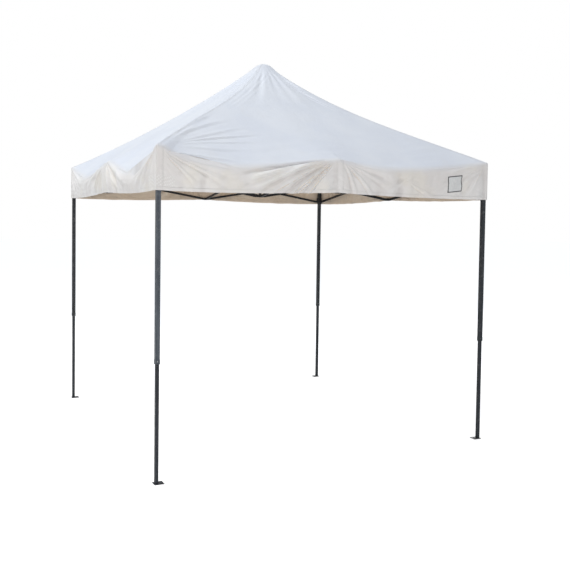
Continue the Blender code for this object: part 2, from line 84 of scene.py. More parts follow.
# Canopy mesh
COLUMNS = 240
QUARTER = COLUMNS // 4
CAP_ROWS = 14
HIGH_ROWS = 46
LOW_ROWS = 72
ROOF_ROWS = CAP_ROWS + HIGH_ROWS + LOW_ROWS
EDGE_ROW = ROOF_ROWS - 9  # below this row the roof folds in with the valance
VALANCE_ROWS = 34


def smoothstep(low, high, value):
    x = np.clip((value - low) / (high - low), 0.0, 1.0)
    return x * x * (3 - 2 * x)


def quarter_turn(side):
    """The rotation that takes the front side's own frame to this side."""
    c, s = ((1, 0), (0, 1), (-1, 0), (0, -1))[side]
    return np.array(((c, -s, 0), (s, c, 0), (0, 0, 1)), float)


# Each side is worked out in its own frame: X along the side, -Y outward. The along value runs
# from -1 at the side's first corner to 1 at its last, and the down value from 0 at the peak
# to 1 at the eave and to 2 at the hem.

MIDDLE_SHIFT = {"left": 0.07}  # how far along a side the sheet's own middle has slipped
LOOSENESS = 0.009  # how far the hanging cloth stands off its straight line

# Each half side's swag: how deep, how far from the middle it is deepest, and its curve's power
SWAGS = {
    ("front", -1): (0.110, 0.62, 0.75),
    ("front", 1): (0.064, 0.40, 0.90),
    ("right", -1): (0.085, 0.52, 0.90),
    ("right", 1): (0.100, 0.56, 0.85),
    ("back", -1): (0.090, 0.50, 0.90),
    ("back", 1): (0.105, 0.58, 0.80),
    ("left", -1): (0.110, 0.56, 1.05),
    ("left", 1): (0.150, 0.55, 1.00),
}

SWAG_TAPER = 0.62  # how much of a swag is lost over the corner bracket's cap
SWAG_HEM_SHARE = 0.075  # how much of a swag reaches the hem
PANEL_SAG = 0.085  # sag of the middle of each roof panel


def swag_shape(side, along):
    """The swag's curve, 0 at a corner or a middle and about 1 between them, and its depth."""
    along = along - MIDDLE_SHIFT.get(SIDES[side], 0) * (1 - along**2)
    reach = np.clip(np.abs(along), 0, 1)
    shape = np.zeros_like(along)
    depth = np.zeros_like(along)
    for way in (-1, 1):
        most, deepest, power = SWAGS[SIDES[side], way]
        exponent = math.log(0.5) / math.log(deepest)
        curve = np.maximum(np.sin(np.pi * reach**exponent), 0.0) ** power
        here = along * way >= 0
        curve = curve * (1 - SWAG_TAPER * smoothstep(0.93, BRACKET_REACH, reach))
        shape = np.where(here, curve, shape)
        depth = np.where(here, curve * most, depth)
    return shape, depth


def taut_eave(along):
    """Height of the eave if it ran straight from the corners to the middle."""
    return MIDDLE_Z + (CORNER_Z - MIDDLE_Z) * np.abs(along)


def eave_height(side, along):
    _, depth = swag_shape(side, along)
    return taut_eave(along) - depth


def hem_height(side, along):
    _, depth = swag_shape(side, along)
    rise = (HEM_MIDDLE_Z - HEM_CORNER_Z) * (1 - np.abs(along)) ** 2
    return HEM_CORNER_Z + rise - SWAG_HEM_SHARE * depth


# Each hip's sag: how deep, how early down the hip it is deepest, and how pointed its curve is
HIP_SAGS = {
    "front_left": (0.105, 0.55, 1.4),
    "front_right": (0.104, 0.67, 1.1),
    "back_left": (0.080, 0.85, 0.8),
    "back_right": (0.070, 0.90, 1.0),
}


def hip_sag(corner, down):
    """How far each hip hangs below the straight line from the peak to its corner."""
    depth, early, power = HIP_SAGS[corner]
    hang = np.maximum(np.sin(np.pi * down**early), 0) ** power
    return depth * hang * smoothstep(0, PEAK_FREE, down)


def roof_point(side, along, down):
    """A point of the roof before its folds are added."""
    blunt = PEAK_ROUNDING
    drop = ((down**4 + blunt**4) ** 0.25 - blunt) / ((1 + blunt**4) ** 0.25 - blunt)
    z = PEAK_Z - (PEAK_Z - taut_eave(along)) * drop
    first = hip_sag(CORNERS[side], down)
    last = hip_sag(CORNERS[(side + 1) % 4], down)
    panel = PANEL_SAG * np.maximum(np.sin(np.pi * down**0.85), 0) * smoothstep(0, PEAK_FREE, down)
    to_hip = np.abs(along) ** 1.6
    z = z - (np.where(along < 0, first, last) * to_hip + panel * (1 - to_hip))
    _, depth = swag_shape(side, along)
    near_middle = np.exp(-((along / 0.14) ** 2))
    z = z - depth * down ** (4.5 + 9.0 * near_middle)
    lean_x, lean_y, _ = quarter_turn(side).T @ np.array(PEAK_LEAN)
    fade = 1 - smoothstep(0, LEAN_END, down)
    return np.stack((HALF * along * down + lean_x * fade, lean_y * fade - HALF * down, z), -1)


def eave_point(side, along):
    shape, depth = swag_shape(side, along)
    out = 0.16 * depth * shape
    return np.stack((HALF * along, -HALF - out, eave_height(side, along)), -1)


def valance_point(side, along, share):
    """A point of the valance before its folds, share 0 at the eave and 1 at the hem."""
    top = eave_point(side, along)
    out = -HALF - top[..., 1]
    hem = hem_height(side, along)
    loose = LOOSENESS * np.minimum(1, (1 - np.abs(along)) * 9)
    belly = loose * (0.6 + np.sin(np.pi * share))
    y = -HALF - out * (1 - share) ** 1.5 - belly
    z = top[..., 2] + (hem - top[..., 2]) * share
    return np.stack((top[..., 0], y, z), -1)


def sheet(side, along, down):
    """The whole sheet: roof, rounded eave and valance in one surface."""
    _, depth = swag_shape(side, along)
    near_corner = np.sin(np.pi * smoothstep(0.55, 1.0, np.abs(along)))
    roll = 0.010 + 0.50 * depth + 0.034 * near_corner
    roof_roll = roll / SLOPE_LENGTH
    fall = eave_height(side, along) - hem_height(side, along)
    hang_roll = np.minimum(roll / fall, 0.6)
    corner = eave_point(side, along)
    before = roof_point(side, along, 1 - roof_roll)
    after = valance_point(side, along, hang_roll)
    plain = np.where(
        (down <= 1)[..., None],
        roof_point(side, along, np.minimum(down, 1)),
        valance_point(side, along, np.clip(down - 1, 0, 1)),
    )
    turn = np.where(
        down <= 1,
        0.5 * (down - 1 + roof_roll) / roof_roll,
        0.5 + 0.5 * (down - 1) / hang_roll,
    )
    t = np.clip(turn, 0, 1)[..., None]
    rounded = (1 - t) ** 2 * before + 2 * t * (1 - t) * corner + t**2 * after
    return np.where(((turn > 0) & (turn < 1))[..., None], rounded, plain)


# Folds. Each works on a side's flat pattern: x along the side, w up the roof from the eave and
# negative down the valance, both in metres.


def crease(x, w, start, end, width, height, sharp=0.6, bow=0.0):
    """A fold that leaves start, bows, and widens towards end, with a valley beside its crest."""
    run = np.array(end, float) - np.array(start, float)
    length = math.hypot(*run)
    u = ((x - start[0]) * run[0] + (w - start[1]) * run[1]) / length**2
    across = ((x - start[0]) * run[1] - (w - start[1]) * run[0]) / length
    across = across - bow * length * u * (1 - u)
    spread = width * (0.18 + 0.82 * np.clip(u, 0, 1))
    profile = np.exp(-((across / spread) ** 2))
    profile = profile - sharp * np.exp(-((across / spread - 1.5) ** 2) * 1.4)
    ends = smoothstep(0.02, 0.42, u) * (1 - smoothstep(0.66, 1.06, u))
    return height * profile * ends


def fan(x, w, start, ends, width, height, seed):
    """Creases that spread from one point, each a little different."""
    rng = np.random.default_rng(seed)
    total = np.zeros_like(x)
    for end in ends:
        wide = width * rng.uniform(0.7, 1.25)
        high = height * rng.uniform(0.7, 1.25)
        bow = 0.22 * math.copysign(rng.uniform(0.4, 1.0), start[0] - end[0])
        total += crease(x, w, start, end, wide, high, rng.uniform(0.4, 0.9), bow)
    return total


def ripples(x, w, seed, count, short, long, heading, spread):
    """Soft irregular waves whose crests run along heading, in radians from the X axis."""
    rng = np.random.default_rng(seed)
    total = np.zeros_like(x)
    for _ in range(count):
        angle = heading + rng.normal(0, spread) + math.pi / 2
        wave = rng.uniform(short, long)
        phase = rng.uniform(0, 2 * math.pi)
        bend = 0.6 * np.sin(2 * math.pi * (x * math.sin(angle) + w) / (wave * 5) + phase)
        path = x * math.cos(angle) + w * math.sin(angle)
        total += np.sin(2 * math.pi * path / wave + phase + bend)
    return total / math.sqrt(count)


def peak_pleats(side, along, down):
    """Soft pleats that hang from the peak and fade by the middle of the roof."""
    rng = np.random.default_rng(40 + side)
    total = np.zeros_like(along)
    for count in (3.5, 5.5, 8.5):
        drift = rng.uniform(-0.25, 0.25)
        phase = rng.uniform(0, 2 * math.pi)
        total += np.sin(math.pi * count * (along + drift * down) + phase) / count**0.5
    fade = smoothstep(0.05, 0.18, down) * (1 - smoothstep(0.22, 0.52, down))
    return 0.0050 * total * fade


def hip_streaks(along, down, way, nearness):
    """Thin folds that run beside a hip near the peak."""
    gap = (1 - way * along) * HALF * down
    wave = np.sin(2 * math.pi * gap / 0.055 + 3 * down)
    band = np.exp(-(((gap - 0.11) / 0.07) ** 2))
    return nearness * wave * band * smoothstep(0.06, 0.16, down) * (1 - smoothstep(0.3, 0.62, down))


def front_folds(x, w):
    """Folds of the front: the creased swag left of its middle, and the pulls from its corners."""
    middle = (-0.03, 0.0)
    ends = ((-0.84, -0.10), (-0.82, -0.19), (-0.72, -0.27), (-0.54, -0.31), (-0.36, -0.33))
    total = fan(x, w, middle, ends, 0.030, 0.0270, 1)
    total += fan(x, w, (-0.12, -0.05), ((-0.66, -0.25), (-0.44, -0.30)), 0.015, 0.013, 2)
    left = (-HALF + 0.02, -0.01)
    ends = ((-0.80, 0.05), (-0.74, -0.03), (-0.84, -0.08), (-0.96, -0.13), (-1.16, -0.20))
    total += fan(x, w, left, ends, 0.020, 0.0065, 3)
    near_hip = (-HALF + 0.10, 0.07)
    high_ends = ((-0.84, 0.70), (-0.70, 0.66), (-0.58, 0.56))
    low_ends = ((-0.50, 0.44), (-0.56, 0.32), (-0.66, 0.20))
    total += fan(x, w, near_hip, high_ends + low_ends, 0.021, 0.0048, 6)
    right = (HALF - 0.02, -0.02)
    ends = ((0.92, -0.10), (0.98, -0.17), (1.10, -0.25), (1.24, -0.30))
    total += fan(x, w, right, ends, 0.028, 0.0080, 4)
    ends = ((0.52, -0.08), (0.48, -0.17), (0.34, -0.27), (0.16, -0.30))
    total += fan(x, w, (0.03, 0.0), ends, 0.028, 0.0085, 5)
    total += crease(x, w, (0.62, -0.10), (0.98, -0.28), 0.022, 0.008)
    total += crease(x, w, (0.72, -0.05), (0.40, -0.22), 0.026, 0.007)
    return total


def side_folds(side, x, w):
    """Folds of the other sides: curtain folds that hang from the middle and the corners."""
    total = np.zeros_like(x)
    rng = np.random.default_rng(60 + side)
    for way in (-1, 1):
        most = SWAGS[SIDES[side], way][0]
        high = 0.0060 + 0.075 * most
        ends = []
        for reach in (0.74, 0.62, 0.48, 0.34, 0.20):
            drop = -0.06 - 0.26 * (1 - reach / 0.8) - rng.uniform(0, 0.03)
            ends.append((way * (reach + rng.uniform(-0.04, 0.04)), drop))
        total += fan(x, w, (way * 0.02, 0.0), ends, 0.036, high, 70 + 2 * side + way)
        ends = []
        for reach in (0.62, 0.50, 0.38, 0.24):
            drop = -0.05 - 0.24 * (1 - reach / 0.7) - rng.uniform(0, 0.03)
            ends.append((way * (HALF - reach), drop))
        corner = (way * (HALF - 0.02), -0.01)
        total += fan(x, w, corner, ends, 0.034, 0.8 * high, 90 + 2 * side + way)
    return total


def fold_height(side, along, down, x, w):
    """How far the fabric stands out from its smooth shape."""
    on_roof = smoothstep(-0.04, 0.10, w)
    hanging = 1 - smoothstep(-0.10, 0.02, w)
    total = peak_pleats(side, along, down)
    total += hip_streaks(along, down, 1, 0.0026)
    total += hip_streaks(along, down, -1, 0.0012)
    total += 0.0022 * on_roof * ripples(x, w, 10 + side, 5, 0.30, 0.75, math.pi / 2, 0.5)
    low_roof = smoothstep(0.0, 0.08, w) * (1 - smoothstep(0.25, 0.62, w))
    total += 0.0009 * low_roof * ripples(x, w, 20 + side, 4, 0.07, 0.16, 0.12, 0.2)
    curtain = ripples(x, 0.25 * w, 30 + side, 5, 0.13, 0.34, math.pi / 2, 0.15)
    total += hanging * (0.0036 + 0.012 * np.clip(-w, 0, 0.3)) * curtain
    crumple = ripples(x, w, 50 + side, 9, 0.035, 0.090, 0.9, 0.9)
    total += 0.0014 * hanging * crumple
    total += front_folds(x, w) if side == 0 else side_folds(side, x, w)
    to_edge = (1 - np.abs(along)) * HALF * np.minimum(down, 1)
    pucker = 0.0016 * np.sin(2 * math.pi * w / 0.043 + 1.7 * side) * np.exp(-to_edge / 0.05)
    total += pucker * (1 - smoothstep(0.0, 0.3, w))
    return total * smoothstep(0.0, 0.045, to_edge)


def bar_tops(x):
    """Height of the upper edge of a side's crossed scissor bars at x."""
    inner = 0.028
    outer = LEG - 0.055
    reach = np.clip((np.abs(x) - inner) / (outer - inner), 0, 1)
    rise = BAR_HIGH_Z - BAR_LOW_Z
    return BAR_LOW_Z + rise * np.maximum(reach, 1 - reach) + BAR_TOP


def row_shares():
    """The down value of each row: cap, high roof, low roof and valance, close at the eave."""
    crossing = BAR_CROSSING / HALF
    cap = np.linspace(0, CAP_SHARE, CAP_ROWS + 1)
    high = np.linspace(CAP_SHARE, crossing, HIGH_ROWS + 1)
    low = 1 - (1 - crossing) * np.linspace(1, 0, LOW_ROWS + 1) ** 1.3
    valance = 1 + np.linspace(0, 1, VALANCE_ROWS + 1) ** 1.15
    return np.concatenate((cap, high[1:], low[1:], valance[1:]))


def grid_places():
    """The along and down values of a side's grid.

    The columns a quarter of the way in from each corner stay above the rivets of the scissor
    bars. Where the roof is narrower than that, they and the ones outside them run together
    along the hip.
    """
    share, down = np.meshgrid(np.linspace(-1, 1, COLUMNS + 1), row_shares())
    rivet = np.minimum(1, BAR_CROSSING / HALF / np.maximum(np.minimum(down, 1), 1e-6))
    inner = 2 * np.abs(share) * rivet
    outer = rivet + (2 * np.abs(share) - 1) * (1 - rivet)
    return np.sign(share) * np.where(np.abs(share) <= 0.5, inner, outer), down


class Side:
    """One side of the sheet in its own frame, with the values that its fabric shader reads."""

    def __init__(self, side):
        self.side = side
        along, down = grid_places()
        self.points = self.place(along, down)
        self.normals = self.slopes(along, down, self.place)
        x, w, fall = self.pattern(along, down)
        self.values = {
            "across": x,
            "up": w,
            "to_hem": np.where(down <= 1, 1.0, (2 - down) * fall),
            "to_corner": (1 - np.abs(along)) * HALF * np.minimum(down, 1),
            "stand": fold_height(side, along, down, x, w),
        }

    def pattern(self, along, down):
        """Where a point lies on the side's flat pattern, and how deep the valance is there."""
        fall = eave_height(self.side, along) - hem_height(self.side, along)
        x = HALF * along * np.minimum(down, 1)
        return x, np.where(down <= 1, (1 - down) * SLOPE_LENGTH, (1 - down) * fall), fall

    def place(self, along, down):
        x, w, _ = self.pattern(along, down)
        base = sheet(self.side, along, down)
        height = fold_height(self.side, along, down, x, w)
        points = base + self.slopes(along, down, partial(sheet, self.side)) * height[..., None]
        return self.clear_of_bars(points, down)

    def slopes(self, along, down, surface):
        """Normals of a surface, from its slope over a small step each way."""
        step = 0.0015
        before = surface(np.maximum(along - step, -1), down)
        after = surface(np.minimum(along + step, 1), down)
        above = surface(along, np.maximum(down - step, 0))
        below = surface(along, np.minimum(down + step, 2))
        normals = np.cross(below - above, after - before)
        length = np.linalg.norm(normals, axis=2, keepdims=True)
        return np.where(length > 1e-12, normals / np.maximum(length, 1e-12), (0.0, 0.0, 1.0))

    def clear_of_bars(self, points, down):
        """Keeps the sheet outside the scissor bars: the roof over them, the valance beyond."""
        x, y, z = points[..., 0], points[..., 1], points[..., 2]
        window = smoothstep(LEG - 0.075, LEG - 0.022, -y)
        window = window * (1 - smoothstep(OUTER_FACE, OUTER_FACE + 0.004, -y))
        rest = bar_tops(x) + 0.006
        nearest = OUTER_FACE + 0.0025
        soft = 0.002
        pushed = nearest + soft * np.logaddexp(0, (-y - nearest) / soft)
        points = points.copy()
        points[..., 2] = z + np.maximum(rest - z, 0) * window * (down <= 1)
        points[..., 1] = np.where((down > 1) | ((z < rest) & (-y > LEG)), -pushed, y)
        return points


def share_edges(sides):
    """Gives neighbouring sides the same points and normals along their common hip and corner."""
    turns = [quarter_turn(side.side) for side in sides]
    narrow = CAP_ROWS + HIGH_ROWS + 1  # down to here the outer columns run together
    for first in range(4):
        second = (first + 1) % 4
        back = turns[second].T @ turns[first]
        a, b = sides[first], sides[second]
        for left, right in ((a.points, b.points), (a.normals, b.normals)):
            edge = (left[:, -1] @ back.T + right[:, 0]) / 2
            if left is a.normals:
                edge /= np.linalg.norm(edge, axis=1, keepdims=True)
            right[:, 0] = edge
            left[:, -1] = edge @ back
            right[:narrow, : QUARTER + 1] = right[:narrow, :1]
            left[:narrow, -QUARTER - 1 :] = left[:narrow, -1:]


def grid_faces(rows, columns, first):
    """The quads of a grid whose points start at number first."""
    index = np.arange(rows * columns).reshape(rows, columns) + first
    corners = (index[:-1, :-1], index[1:, :-1], index[1:, 1:], index[:-1, 1:])
    return np.stack(corners, -1).reshape(-1, 4).tolist()


def fabric_mesh(name, grids, material):
    """One mesh from grids of (points, normals, values), all in the row frame."""
    points = []
    normals = []
    faces = []
    values = {}
    for grid_points, grid_normals, grid_values in grids:
        rows, columns = grid_points.shape[:2]
        faces += grid_faces(rows, columns, sum(len(p) for p in points))
        points.append(grid_points.reshape(-1, 3))
        normals.append(grid_normals.reshape(-1, 3))
        for key, value in grid_values.items():
            values.setdefault(key, []).append(value.reshape(-1))
    mesh = bpy.data.meshes.new(name)
    mesh.from_pydata(np.concatenate(points).tolist(), [], faces)
    for key, parts in values.items():
        layer = mesh.attributes.new(key, "FLOAT", "POINT")
        layer.data.foreach_set("value", np.concatenate(parts).astype(np.float32))
    mesh.shade_smooth()
    mesh.normals_split_custom_set_from_vertices(np.concatenate(normals).tolist())
    mesh.materials.append(material)
    obj = bpy.data.objects.new(name, mesh)
    bpy.context.scene.collection.objects.link(obj)
    return obj


def cut(side, rows, columns):
    """Part of a side's sheet, turned to its place in the row frame."""
    turn = quarter_turn(side.side)
    points = side.points[rows, columns] @ turn.T
    normals = side.normals[rows, columns] @ turn.T
    return points, normals, {k: v[rows, columns] for k, v in side.values.items()}


def fit_fabric(piece, body):
    """Sets a piece of the canopy on the body it rides, with a mesh of its own, and hides the CAD
    canopy.
    """
    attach(piece, body)
    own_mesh(piece)
    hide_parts("canopy")


def build_cap(sides, material):
    """The crown of the roof, over the peak pole."""
    rows = slice(0, CAP_ROWS + 1)
    columns = slice(QUARTER, 3 * QUARTER + 1)
    cap = fabric_mesh("canopy_crown", [cut(s, rows, columns) for s in sides], material)
    fit_fabric(cap, "upper_hub")


def build_roof(side, material):
    """Four parts of the roof, each above the half of a scissor bar that it folds with."""
    name = SIDES[side.side]
    first, last = (f"{name}_{half[side.side]}" for half in (FIRST_HALF, LAST_HALF))
    inner_rows = slice(CAP_ROWS, EDGE_ROW + 1)
    outer_rows = slice(CAP_ROWS + HIGH_ROWS, EDGE_ROW + 1)
    parts = (
        (outer_rows, f"{first}_bracket_bar"),
        (inner_rows, f"{first}_slider_bar"),
        (inner_rows, f"{last}_slider_bar"),
        (outer_rows, f"{last}_bracket_bar"),
    )
    for i, (rows, body) in enumerate(parts):
        columns = slice(i * QUARTER, (i + 1) * QUARTER + 1)
        part = fabric_mesh(f"canopy_{name}_roof_{i + 1}", [cut(side, rows, columns)], material)
        fit_fabric(part, body)


def build_valance(side, material):
    """The edge of the roof and the band that hangs from it: outer face, hem and inner face."""
    name = SIDES[side.side]
    points, normals, values = cut(side, slice(EDGE_ROW, None), slice(None))
    inside = points - normals * FABRIC
    points = np.concatenate((points, inside[::-1]))
    normals = np.concatenate((normals, -normals[::-1]))
    values["inside"] = np.zeros_like(values["up"])
    values = {k: np.concatenate((v, v[::-1])) for k, v in values.items()}
    values["inside"][len(inside) :] = 1.0
    band = fabric_mesh(f"canopy_{name}_valance", [(points, normals, values)], material)
    fit_fabric(band, f"{name}_upper_mid_block")


PATCH_PLACE = (1.115, -0.145)  # along the side, and down from the eave
PATCH_SIZE = (0.150, 0.135)
PATCH_STEPS = 13  # points along each of its edges
PATCH_STANDS_OFF = 0.0016


def build_patch(side, material):
    """A blank sewn patch near the right-hand end of the front valance."""
    turn = quarter_turn(side.side)
    rows = np.arange(ROOF_ROWS, side.points.shape[0])
    eave_x = side.values["across"][ROOF_ROWS]
    fall = -side.values["up"][rows]
    across = np.linspace(-0.5, 0.5, PATCH_STEPS) * PATCH_SIZE[0]
    down = np.linspace(-0.5, 0.5, PATCH_STEPS) * PATCH_SIZE[1] - PATCH_PLACE[1]
    columns = np.interp(PATCH_PLACE[0] + across, eave_x, np.arange(COLUMNS + 1))
    points = np.empty((PATCH_STEPS, PATCH_STEPS, 3))
    normals = np.empty((PATCH_STEPS, PATCH_STEPS, 3))
    for j, column in enumerate(columns):
        low = int(column)
        part = column - low
        for source, target in ((side.points, points), (side.normals, normals)):
            line = source[rows, low] * (1 - part) + source[rows, low + 1] * part
            reach = fall[:, low] * (1 - part) + fall[:, low + 1] * part
            for axis in range(3):
                target[:, j, axis] = np.interp(down, reach, line[:, axis])
    normals /= np.linalg.norm(normals, axis=2, keepdims=True)
    raised = points + normals * PATCH_STANDS_OFF
    to_side = PATCH_SIZE[0] / 2 - np.abs(across)
    to_end = PATCH_SIZE[1] / 2 - np.abs(down + PATCH_PLACE[1])
    values = {"to_edge": np.minimum(to_side[None, :], to_end[:, None])}
    patch = fabric_mesh("canopy_patch", [(raised @ turn.T, normals @ turn.T, values)], material)
    fit_fabric(patch, "front_upper_mid_block")


# Materials


class Shader:
    """A material's node tree, with short calls for the nodes that the finishes use."""

    def __init__(self, name):
        self.material = bpy.data.materials.new(name)
        self.material.use_nodes = True
        self.tree = self.material.node_tree
        self.surface = self.tree.nodes["Principled BSDF"]

    def add(self, kind, **settings):
        node = self.tree.nodes.new(kind)
        for key, value in settings.items():
            setattr(node, key, value)
        return node

    def put(self, socket, value):
        if hasattr(value, "is_output"):
            self.tree.links.new(value, socket)
        elif value is not None:
            socket.default_value = value

    def math(self, operation, a, b=None):
        node = self.add("ShaderNodeMath", operation=operation)
        for socket, value in zip(node.inputs, (a, b)):
            self.put(socket, value)
        return node.outputs[0]

    def times(self, a, b):
        return self.math("MULTIPLY", a, b)

    def larger(self, a, b):
        return self.math("MAXIMUM", a, b)

    def value(self, name):
        return self.add("ShaderNodeAttribute", attribute_name=name).outputs["Fac"]

    def noise(self, scale, detail, stretch=None, rough=0.5):
        place = self.add("ShaderNodeTexCoord").outputs["Object"]
        if stretch is not None:
            mapping = self.add("ShaderNodeMapping")
            mapping.inputs["Scale"].default_value = stretch
            self.put(mapping.inputs["Vector"], place)
            place = mapping.outputs[0]
        node = self.add("ShaderNodeTexNoise")
        self.put(node.inputs["Vector"], place)
        node.inputs["Scale"].default_value = scale
        node.inputs["Detail"].default_value = detail
        node.inputs["Roughness"].default_value = rough
        return node.outputs[0]

    def ramp(self, value, low, high, start=0.0, end=1.0):
        node = self.add("ShaderNodeMapRange", interpolation_type="SMOOTHSTEP")
        for socket, given in zip(node.inputs, (value, low, high, start, end)):
            self.put(socket, given)
        return node.outputs[0]

    def mix(self, share, a, b):
        node = self.add("ShaderNodeMix", data_type="RGBA")
        self.put(node.inputs[0], share)
        self.put(node.inputs[6], a)
        self.put(node.inputs[7], b)
        return node.outputs[2]

    def bump(self, height, distance, strength=1.0, below=None):
        node = self.add("ShaderNodeBump")
        node.inputs["Distance"].default_value = distance
        node.inputs["Strength"].default_value = strength
        self.put(node.inputs["Height"], height)
        self.put(node.inputs["Normal"], below)
        return node.outputs[0]

    def wave(self, value, length):
        return self.math("SINE", self.times(value, 2 * math.pi / length))

    def band(self, value, centre, half_width):
        """1 where value is within half_width of centre."""
        off = self.math("ABSOLUTE", self.math("SUBTRACT", value, centre))
        return self.ramp(off, half_width * 1.25, half_width * 0.75)

    def finish(self, colour, roughness, metallic=0.0, normal=None, sheen=0.0):
        self.put(self.surface.inputs["Base Color"], colour)
        self.put(self.surface.inputs["Roughness"], roughness)
        self.put(self.surface.inputs["Metallic"], metallic)
        self.put(self.surface.inputs["Normal"], normal)
        self.put(self.surface.inputs["Sheen Weight"], sheen)
        return self.material


def colour(r, g, b):
    return (r, g, b, 1.0)


BARE_METAL = colour(0.30, 0.30, 0.30)
SCUFFED = colour(0.30, 0.30, 0.30)


# Sewn lines of the canopy, in metres: one above the hem, then pairs at these distances
HEM_SEAM = 0.026
HEM_SEAM_HALF = 0.0016
SEAM_HALF = 0.0012
POCKET_SEAMS = (0.044, 0.050)  # from the valance's corners
HIP_SEAMS = (0.011, 0.018)  # from the hips
MIDDLE_SEAMS = (0.022, 0.030)  # from the middle of each valance
STITCHES = 180.0  # per metre
QUILTING = 0.024  # pitch of the stitching on the corner pockets
THREADS = 0.0016  # pitch of the weave


def cloth_tint_with_painted_light(m, roof):
    """The clean cloth, outside and inside, with painted light: cool on the roof for painted sky light
    from above, warmer on the valance for painted bounce from the floor, and beige-brown inside for a
    painted glow of light through the cloth and from the floor.
    """
    cloud = m.ramp(m.noise(2.2, 3.0), 0.35, 0.65)
    # The roof's cool cast is painted sky light and the valance's warm cast is painted floor bounce,
    # over the cloth's own off-white.
    roof_tint_with_painted_sky_light = m.mix(cloud, colour(0.71, 0.735, 0.80), colour(0.75, 0.77, 0.82))
    hang_tint_with_painted_bounce = m.mix(cloud, colour(0.74, 0.705, 0.685), colour(0.79, 0.765, 0.75))
    warmth = m.times(m.ramp(m.noise(3.4, 3.0), 0.48, 0.68), 0.35)
    hang_tint_with_painted_bounce = m.mix(warmth, hang_tint_with_painted_bounce, colour(0.80, 0.74, 0.63))
    # The inside colour is painted light: a warm beige-brown glow of light through the cloth and
    # bounced from the floor.
    inside = m.mix(cloud, colour(0.74, 0.62, 0.50), colour(0.82, 0.70, 0.57))
    return m.mix(roof, hang_tint_with_painted_bounce, roof_tint_with_painted_sky_light), inside


def sewn_lines(m, to_hem, rows):
    """1 on the seams, which are the hem's and each row of (value, distances, where)."""
    seams = m.band(to_hem, HEM_SEAM, HEM_SEAM_HALF)
    for value, distances, where in rows:
        for distance in distances:
            seams = m.larger(seams, m.times(m.band(value, distance, SEAM_HALF), where))
    return seams


def quilted_corners(m, across, up, to_corner, to_hem, hanging):
    """The raised squares of the stitched pockets at the valance's lower corners."""
    pocket = m.times(m.ramp(to_corner, 0.135, 0.132), m.ramp(to_hem, 0.110, 0.107))
    pocket = m.times(pocket, m.times(m.ramp(to_hem, 0.028, 0.031), hanging))
    squares = m.times(m.wave(across, QUILTING), m.wave(up, QUILTING))
    return m.times(m.ramp(squares, 0.1, 0.5), pocket)


def canvas():
    """Coated polyester canvas: plain weave, stitched seams, painted shade in the fold valleys and a
    painted highlight on the fold crests.
    """
    m = Shader("canvas")
    across = m.value("across")
    up = m.value("up")
    to_hem = m.value("to_hem")
    to_corner = m.value("to_corner")
    stand = m.value("stand")
    middle = m.math("ABSOLUTE", across)
    roof = m.ramp(up, -0.045, 0.055)
    hanging = m.ramp(up, 0.010, -0.004)
    below_eave = m.ramp(up, 0.06, -0.02)
    outside, inside = cloth_tint_with_painted_light(m, roof)

    rows = (
        (to_corner, POCKET_SEAMS, hanging),
        (to_corner, HIP_SEAMS, roof),
        (middle, MIDDLE_SEAMS, hanging),
    )
    seams = sewn_lines(m, to_hem, rows)
    run = m.math("ADD", m.times(up, STITCHES), m.times(across, STITCHES))
    thread = m.times(seams, m.ramp(m.math("PINGPONG", run, 0.5), 0.12, 0.22))
    quilt = quilted_corners(m, across, up, to_corner, to_hem, hanging)
    outside = m.mix(m.times(seams, 0.22), outside, colour(0.42, 0.40, 0.38))
    outside = m.mix(m.times(thread, 0.5), outside, colour(0.90, 0.88, 0.85))
    outside = m.mix(m.times(quilt, 0.5), outside, colour(0.93, 0.92, 0.90))

    # Painted shade darkens the fold valleys and a painted highlight lightens the fold crests, below
    # the eave.
    valley = m.times(m.ramp(stand, -0.0015, -0.0095), below_eave)
    crest = m.times(m.ramp(stand, 0.004, 0.016), below_eave)
    dust = m.ramp(m.noise(7.0, 5.0), 0.55, 0.80)
    outside = m.mix(m.times(valley, 0.34), outside, colour(0.46, 0.42, 0.40))
    outside = m.mix(m.times(crest, 0.30), outside, colour(0.90, 0.89, 0.88))
    outside = m.mix(m.times(dust, 0.10), outside, colour(0.60, 0.57, 0.52))
    # Faces seen from behind, and the valance's inner face, take the inside colour with its painted
    # warm glow.
    back = m.add("ShaderNodeNewGeometry").outputs["Backfacing"]
    tint = m.mix(m.larger(back, m.value("inside")), outside, inside)

    # Relief: weave threads, fine crumple, and the doubled cloth beside the sewn lines
    weave = m.times(m.wave(across, THREADS), m.wave(up, THREADS))
    doubled = m.larger(m.ramp(to_hem, 0.028, 0.025), m.times(m.ramp(to_corner, 0.050, 0.047), hanging))
    doubled = m.larger(doubled, m.times(m.ramp(middle, 0.032, 0.029), hanging))
    relief = m.bump(weave, 0.00012, 0.6)
    relief = m.bump(m.noise(16.0, 4.0, rough=0.55), 0.010, 0.35, relief)
    relief = m.bump(quilt, 0.0016, 0.8, relief)
    relief = m.bump(m.math("SUBTRACT", doubled, m.times(seams, 0.8)), 0.0022, 0.8, relief)
    roughness = m.ramp(m.noise(40.0, 3.0), 0.3, 0.7, 0.68, 0.82)
    return m.finish(tint, roughness, normal=relief, sheen=0.25)


def patch_cloth():
    """The blank patch: a tighter, paler weave inside a dark overlocked border."""
    m = Shader("patch_cloth")
    mottle = m.ramp(m.noise(60.0, 4.0), 0.35, 0.70)
    cloth = m.mix(mottle, colour(0.66, 0.66, 0.66), colour(0.72, 0.72, 0.71))
    thread = m.mix(mottle, colour(0.035, 0.035, 0.04), colour(0.07, 0.07, 0.075))
    border = m.ramp(m.value("to_edge"), 0.0085, 0.0065)
    relief = m.bump(m.noise(1400.0, 2.0), 0.0003, 0.5)
    relief = m.bump(border, 0.0015, 0.8, relief)
    return m.finish(m.mix(border, cloth, thread), 0.78, normal=relief, sheen=0.1)


